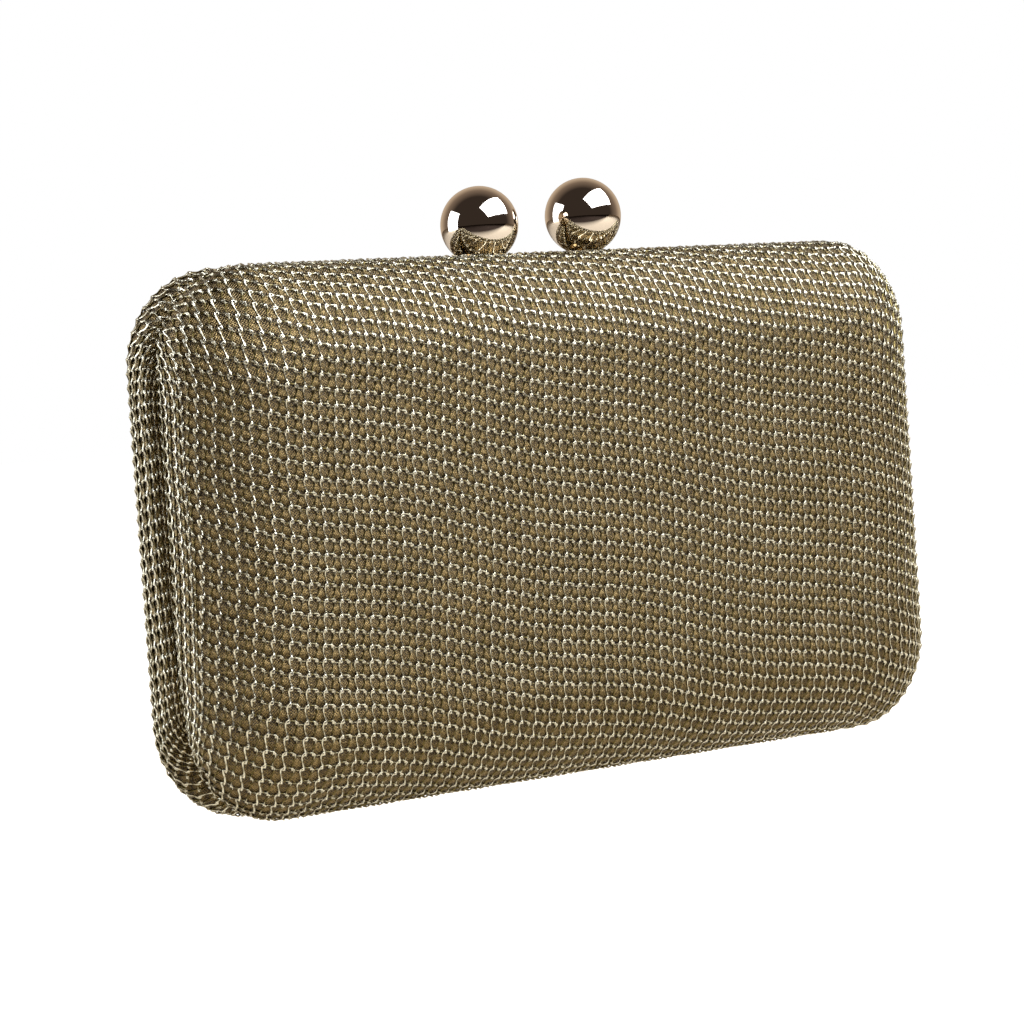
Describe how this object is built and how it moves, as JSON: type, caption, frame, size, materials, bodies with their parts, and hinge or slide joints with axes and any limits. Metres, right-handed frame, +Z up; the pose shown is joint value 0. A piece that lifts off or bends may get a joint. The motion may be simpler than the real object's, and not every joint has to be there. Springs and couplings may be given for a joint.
{
  "type": "evening bag",
  "caption": "Hard box clutch: two pillow-shaped halves in stretched metal-yarn knit over gold cloth, hinged at the bottom, closed by a kiss-lock of side-by-side balls.",
  "frame": {"origin": "middle of the base, on the surface that the closed bag stands on", "axes": "+Z up, +X to the right along the bag's width, -Y the front, +Y the back"},
  "size_m": [0.205, 0.0472, 0.1347],
  "materials": {
    "metal_yarn_knit": "loop knit of flat metallic yarn",
    "gold_lame": "woven metallic cloth",
    "wadding": "thin sponge",
    "shell_board": "moulded",
    "satin_lining": "satin on card",
    "gold_metal": "polished pale gold plating",
    "ball_gold": "mirror-polished champagne gold plating",
    "screw_gold": "plated"
  },
  "bodies": {
    "back_half": {"back_knit_cover": "metal_yarn_knit", "back_backing_cloth": "gold_lame", "back_wadding": "wadding", "back_moulded_shell": "shell_board", "back_lining_tray": "satin_lining", "back_frame": "gold_metal", "back_clasp_arm": "gold_metal", "back_ball_post": "gold_metal", "back_ball": "ball_gold", "back_clasp_screw_left": "screw_gold", "back_clasp_screw_right": "screw_gold", "back_hinge_leaf_left": "gold_metal", "back_hinge_leaf_right": "gold_metal", "back_hinge_screw_left_outer": "screw_gold", "back_hinge_screw_left_inner": "screw_gold", "back_hinge_screw_right_outer": "screw_gold", "back_hinge_screw_right_inner": "screw_gold", "hinge_pin_left": "gold_metal", "hinge_pin_right": "gold_metal", "inner_pocket": "satin_lining"},
    "front_half": {"front_knit_cover": "metal_yarn_knit", "front_backing_cloth": "gold_lame", "front_wadding": "wadding", "front_moulded_shell": "shell_board", "front_lining_tray": "satin_lining", "front_frame": "gold_metal", "front_clasp_arm": "gold_metal", "front_ball_post": "gold_metal", "front_ball": "ball_gold", "front_clasp_screw_left": "screw_gold", "front_clasp_screw_right": "screw_gold", "front_hinge_leaf_left": "gold_metal", "front_hinge_leaf_right": "gold_metal", "front_hinge_screw_left_outer": "screw_gold", "front_hinge_screw_left_inner": "screw_gold", "front_hinge_screw_right_outer": "screw_gold", "front_hinge_screw_right_inner": "screw_gold"}
  },
  "joints": [
    {"name": "bottom_hinge", "type": "hinge", "parent": "back_half", "child": "front_half", "pos_m": [0, 0, 0.0024], "axis": [1, 0, 0], "range_deg": [0, 90]}
  ]
}
